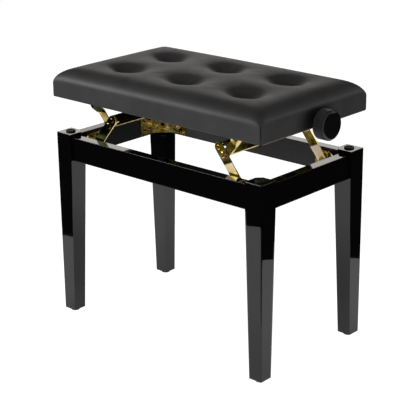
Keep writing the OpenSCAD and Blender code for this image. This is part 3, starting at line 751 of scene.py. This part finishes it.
def build_hem(material):
    """The cut edge of the lining, just showing under the leather along the short sides."""
    insets = (2.2 * MM, 0.3 * MM)
    heights = (-0.1 * MM, 1.1 * MM)
    half_length = seat_half.y - 6 * MM
    box_faces = (
        (0, 1, 3, 2), (4, 6, 7, 5), (0, 4, 5, 1), (2, 3, 7, 6), (0, 2, 6, 4), (1, 5, 7, 3))
    verts, faces = [], []
    for side in (-1, 1):
        first = len(verts)
        for inset, end, height in itertools.product(insets, (-1, 1), heights):
            x = seat_mid.x + side * (seat_half.x - inset)
            verts.append((x, seat_mid.y + end * half_length, seat_low.z + height))
        faces += [[first + k for k in f] for f in box_faces]
    mesh = bpy.data.meshes.new("seat_hem")
    mesh.from_pydata(verts, [], faces)
    hem = new_object("seat_hem", mesh, material)
    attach(hem, "seat")


# ---------- stage ----------

def pale_floor():
    """The floor that the camera sees: pale, evenly bright, without reflections."""
    s = Shader("pale_floor")
    s.set(color=grey(0.3), rough=0.9, specular=0.0, glow=(1, 1, 1), glow_power=0.85)
    return s.material


def lit_floor():
    """The floor that polished faces mirror: a glowing floor with a painted shadow, darker under the
    bench than around it.
    """
    s = Shader("lit_floor")
    away = s.vector("ADD", s.place, leg_frame_mid * -1)
    distance = s.vector("LENGTH", s.vector("MULTIPLY", away, (1, 1, 0)), output="Value")
    # painted shadow: the glow is lower under the bench than around it
    glow = s.ramp(distance, (0.12, 0.30), (0.42, 0.64))
    s.set(color=grey(0.5), rough=0.9, specular=0.0, glow=glow, glow_power=1.0)
    return s.material


def flat(name, points, z, material):
    """A level piece of floor."""
    mesh = bpy.data.meshes.new(name)
    mesh.from_pydata([(x, y, z) for x, y in points], [], [tuple(range(len(points)))])
    obj = new_object(name, mesh, material)
    return obj


def softbox(name, place, aim, size, power, colour=(1, 1, 1)):
    """A rectangular light at a place, aimed at another."""
    data = bpy.data.lights.new(name, "AREA")
    data.shape = "RECTANGLE"
    data.size, data.size_y = size
    data.energy = power
    data.color = colour
    light = bpy.data.objects.new(name, data)
    light.location = place
    light.rotation_euler = (Vector(aim) - Vector(place)).to_track_quat("-Z", "Y").to_euler()
    light.visible_camera = False
    scene.collection.objects.link(light)


def lit_edge():
    """Outline of the lit floor: a circle that ends sooner on the camera's side and bulges out a
    little on the left and at the front left. Angles are in radians, from +X towards +Y."""
    reach = 0.747
    mid_x, mid_y = leg_frame_mid.x + 0.092, -0.118
    short_side = math.radians(-47)
    short_by, short_from, short_ramp = 0.42, 0.6, 0.3
    left_bulge, left_by, left_ramp = (2.6, 3.62), 0.06, 0.04
    front_bulge, front_by, front_ramp = (3.8, 4.5), 0.05, 0.15
    turns = 180
    edge = []
    for k in range(turns):
        angle = 2 * math.pi * k / turns
        toward = (math.cos(angle - short_side) - short_from) / short_ramp
        toward = min(max(toward, 0), 1)
        r = reach * (1 - short_by * toward)
        if left_bulge[0] < angle < left_bulge[1]:
            r += left_by * min(1, (left_bulge[1] - angle) / left_ramp)
        elif front_bulge[0] < angle < front_bulge[1]:
            r += front_by * min(1, (angle - front_bulge[0]) / front_ramp,
                                (front_bulge[1] - angle) / front_ramp)
        edge.append((mid_x + r * math.cos(angle), mid_y + r * math.sin(angle)))
    return edge


def add_floors():
    wide = 12
    corners = [(-wide, -wide), (wide, -wide), (wide, wide), (-wide, wide)]
    floor = flat("floor", corners, -0.002, pale_floor())
    floor.visible_glossy = False
    near = flat("floor_near", lit_edge(), -0.001, lit_floor())
    near.visible_camera = False


def add_world():
    """White behind the bench, pale grey as light on it, and nearly black in reflections."""
    world = bpy.data.worlds.new("studio")
    scene.world = world
    world.use_nodes = True
    tree = world.node_tree
    rays = tree.nodes.new("ShaderNodeLightPath")
    unseen = tree.nodes.new("ShaderNodeMix")
    unseen.data_type = "RGBA"
    unseen.inputs[6].default_value = (0.55, 0.55, 0.56, 1)
    unseen.inputs[7].default_value = (0.004, 0.004, 0.0045, 1)
    tree.links.new(rays.outputs["Is Glossy Ray"], unseen.inputs[0])
    seen = tree.nodes.new("ShaderNodeMix")
    seen.data_type = "RGBA"
    seen.inputs[7].default_value = (1, 1, 1, 1)
    tree.links.new(rays.outputs["Is Camera Ray"], seen.inputs[0])
    tree.links.new(unseen.outputs[2], seen.inputs[6])
    background = tree.nodes["Background"]
    background.inputs["Strength"].default_value = 1.0
    tree.links.new(seen.outputs[2], background.inputs["Color"])


def set_stage():
    """Plain pale floor, white backdrop and four soft lights."""
    scene.view_settings.view_transform = "Standard"
    add_floors()
    add_world()
    softbox("left_light", (-1.6, -1.4, 1.2), (0, 0, 0.45), (1.3, 0.7), 22.5)
    softbox("back_light", (-1.63, 1.79, 1.12), (0, 0, 0.4), (1.55, 0.6), 5.3, (1.0, 0.96, 0.9))
    softbox("front_light", (1.5, -1.66, 1.0), (0, 0, 0.45), (1.4, 0.5), 2.0)
    softbox("right_light", (1.1, 1.7, 1.5), (0, 0, 0.5), (1.2, 0.7), 4)


add_camera()
set_stage()
leather_look = black_leather()
dress_cad(leather_look)
build_cushion(leather_look)
build_seams(moulded_black("seam_thread", 0.006, 0.5))
build_hem(lining_cloth())
